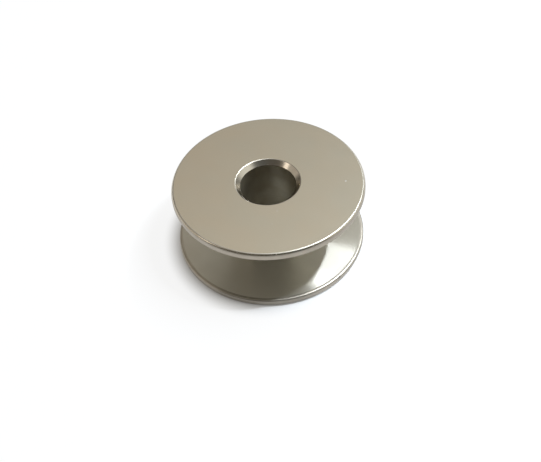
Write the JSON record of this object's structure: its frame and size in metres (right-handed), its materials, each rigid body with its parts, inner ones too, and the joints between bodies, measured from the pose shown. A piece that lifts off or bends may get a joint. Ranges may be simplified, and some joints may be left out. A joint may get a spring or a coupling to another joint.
{
  "type": "sewing machine bobbin",
  "caption": "Plain metal sewing machine bobbin: thin round flanges on a hollow barrel with a chamfered through bore, to be wound with lower thread.",
  "frame": {"origin": "centre of the lower flange's outer face, on the bore axis, where the bobbin stands", "axes": "+Z along the bore axis, up through the barrel to the other flange"},
  "size_m": [0.021, 0.021, 0.0084],
  "materials": {
    "nickel_plated_steel": "satin nickel plate, warm grey"
  },
  "bodies": {
    "root": {"bobbin": "nickel_plated_steel"}
  },
  "joints": []
}
